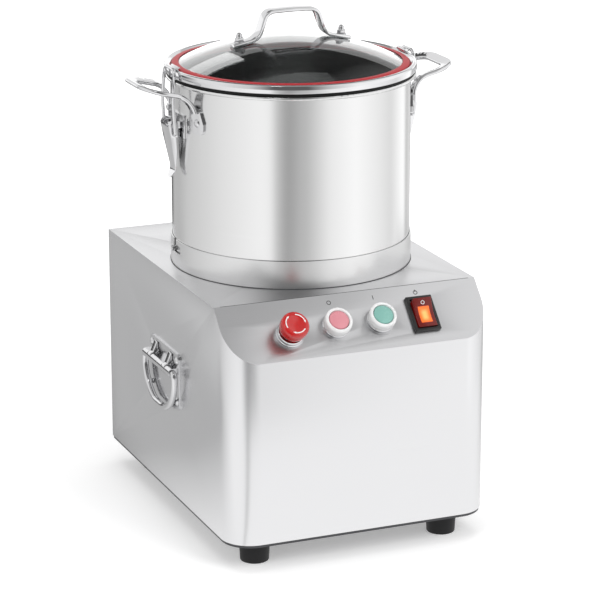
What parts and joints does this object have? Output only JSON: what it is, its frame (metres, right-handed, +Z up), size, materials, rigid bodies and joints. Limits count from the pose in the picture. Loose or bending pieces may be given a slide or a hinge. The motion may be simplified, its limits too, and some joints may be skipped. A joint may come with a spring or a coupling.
{
  "type": "bowl cutter food processor",
  "caption": "Tabletop bowl cutter: steel casing with a raked control panel, a lift-off bowl with double knives, and a latched glass lid.",
  "frame": {"origin": "on the table, under the middle of the bounding box", "axes": "+Z up, the operator stands on the -Y side, +X to the operator's right"},
  "size_m": [0.3542, 0.4039, 0.5416],
  "materials": {
    "casing_steel": "brushed",
    "bowl_steel": "satin",
    "bright_steel": "polished",
    "plate_steel": "satin",
    "fastener_steel": "bright",
    "knife_steel": "ground",
    "hub_plastic": "matt",
    "base_paint": "matt",
    "foot_rubber": "matt",
    "gasket_rubber": "matt",
    "seal_silicone": "satin",
    "lid_glass": "clear",
    "slip_nylon": "matt",
    "gland_plastic": "matt",
    "motor_alloy": "cast",
    "core_iron": "laminated",
    "shaft_steel": "ground",
    "fan_plastic": "matt",
    "capacitor_shell": "gloss",
    "box_plastic": "matt",
    "collar_white": "gloss",
    "estop_stem_plastic": "gloss",
    "estop_red": "gloss",
    "stop_pink": "gloss",
    "start_green": "gloss",
    "rocker_black": "satin",
    "rocker_red": "translucent"
  },
  "bodies": {
    "base": {"casing_shell": "casing_steel", "base_plate": "base_paint", "rubber_feet": "foot_rubber", "foot_screws": "fastener_steel", "rear_panel": "casing_steel", "rear_panel_screws": "fastener_steel", "cable_gland": "gland_plastic", "bowl_collar": "bowl_steel", "collar_screws": "fastener_steel", "motor_flange": "motor_alloy", "motor_housing": "motor_alloy", "motor_end_shield": "motor_alloy", "motor_bearings": "shaft_steel", "shaft_seal": "gasket_rubber", "motor_bolts": "fastener_steel", "stator_core": "core_iron", "run_capacitor": "capacitor_shell", "terminal_box": "box_plastic", "estop_collar": "collar_white", "button_bezels": "collar_white", "panel_nuts": "fastener_steel", "contact_blocks": "fan_plastic", "rocker_bezel": "rocker_black", "side_plate_left": "plate_steel", "side_plate_right": "plate_steel", "side_rivets": "fastener_steel"},
    "drive": {"motor_shaft": "shaft_steel", "rotor_core": "core_iron", "cooling_fan": "fan_plastic"},
    "slip": {"slip_ring": "slip_nylon"},
    "bowl": {"bowl": "bowl_steel", "bayonet_studs": "fastener_steel", "bowl_handle_left": "bright_steel", "bowl_handle_right": "bright_steel", "bowl_handle_rivets": "fastener_steel", "latch_brackets": "bright_steel", "latch_pins": "fastener_steel"},
    "lid": {"lid_gasket": "gasket_rubber", "lid_rim": "bright_steel", "lid_seal_ring": "seal_silicone", "lid_dome": "lid_glass", "lid_handle": "bright_steel", "lid_handle_bolts": "fastener_steel", "lid_catches": "bright_steel"},
    "knife": {"knife_hub": "hub_plastic", "knife_lower_blade": "knife_steel", "knife_upper_blade": "knife_steel", "knife_spacer": "hub_plastic", "knife_nut": "hub_plastic"},
    "lever_left": {"latch_lever_left": "bright_steel"},
    "lever_right": {"latch_lever_right": "bright_steel"},
    "wire_left": {"latch_wire_left": "bright_steel"},
    "wire_right": {"latch_wire_right": "bright_steel"},
    "estop_stem": {"estop_stem": "estop_stem_plastic"},
    "estop_head": {"estop_head": "estop_red"},
    "stop_button": {"stop_button": "stop_pink"},
    "start_button": {"start_button": "start_green"},
    "rocker": {"rocker": "rocker_red"},
    "bail_left": {"bail_left": "bright_steel"},
    "bail_right": {"bail_right": "bright_steel"}
  },
  "joints": [
    {"name": "motor_spin", "type": "hinge", "parent": "base", "child": "drive", "pos_m": [0, 0.009, 0.2], "axis": [0, 0, 1], "continuous": true},
    {"name": "bowl_turn", "type": "hinge", "parent": "base", "child": "slip", "pos_m": [0, 0.009, 0.275], "axis": [0, 0, 1], "range_deg": [0, 6]},
    {"name": "bowl_lift", "type": "slide", "parent": "slip", "child": "bowl", "axis": [0, 0, 1], "range_m": [0, 0.15]},
    {"name": "knife_lift", "type": "slide", "parent": "drive", "child": "knife", "axis": [0, 0, 1], "range_m": [0, 0.15]},
    {"name": "lid_lift", "type": "slide", "parent": "bowl", "child": "lid", "axis": [0, 0, 1], "range_m": [0, 0.15]},
    {"name": "latch_lever_left_swing", "type": "hinge", "parent": "bowl", "child": "lever_left", "pos_m": [-0.1355, 0.009, 0.429], "axis": [0, 1, 0], "range_deg": [0, 105]},
    {"name": "latch_wire_left_swing", "type": "hinge", "parent": "lever_left", "child": "wire_left", "pos_m": [-0.135, 0.009, 0.4195], "axis": [0, 1, 0], "range_deg": [-94.5, 0]},
    {"name": "latch_lever_right_swing", "type": "hinge", "parent": "bowl", "child": "lever_right", "pos_m": [0.1355, 0.009, 0.429], "axis": [0, -1, 0], "range_deg": [0, 105]},
    {"name": "latch_wire_right_swing", "type": "hinge", "parent": "lever_right", "child": "wire_right", "pos_m": [0.135, 0.009, 0.4195], "axis": [0, -1, 0], "range_deg": [-94.5, 0]},
    {"name": "estop_press", "type": "slide", "parent": "base", "child": "estop_stem", "axis": [0, 0.7144, -0.6998], "range_m": [0, 0.004], "stiffness_N_per_m": 900, "springref_m": -0.002},
    {"name": "estop_turn", "type": "hinge", "parent": "estop_stem", "child": "estop_head", "pos_m": [-0.074, -0.16799, 0.24343], "axis": [0, 0.7144, -0.6998], "range_deg": [0, 30], "stiffness_Nm_per_rad": 0.05, "springref_deg": -11.46},
    {"name": "stop_press", "type": "slide", "parent": "base", "child": "stop_button", "axis": [0, 0.7144, -0.6998], "range_m": [0, 0.003], "stiffness_N_per_m": 500, "springref_m": -0.002},
    {"name": "start_press", "type": "slide", "parent": "base", "child": "start_button", "axis": [0, 0.7144, -0.6998], "range_m": [0, 0.003], "stiffness_N_per_m": 500, "springref_m": -0.002},
    {"name": "rocker_tilt", "type": "hinge", "parent": "base", "child": "rocker", "pos_m": [0.0745, -0.16484, 0.24664], "axis": [1, 0, 0], "range_deg": [-18, 0]},
    {"name": "bail_left_swing", "type": "hinge", "parent": "base", "child": "bail_left", "pos_m": [-0.152, 0.0055, 0.172], "axis": [0, 1, 0], "range_deg": [0, 90]},
    {"name": "bail_right_swing", "type": "hinge", "parent": "base", "child": "bail_right", "pos_m": [0.152, 0.0055, 0.172], "axis": [0, -1, 0], "range_deg": [0, 90]}
  ],
  "couplings": [
    {"joint": "knife_lift", "follows": "bowl_lift", "ratio": 1},
    {"joint": "latch_wire_left_swing", "follows": "latch_lever_left_swing", "ratio": -0.9},
    {"joint": "latch_wire_right_swing", "follows": "latch_lever_right_swing", "ratio": -0.9}
  ]
}
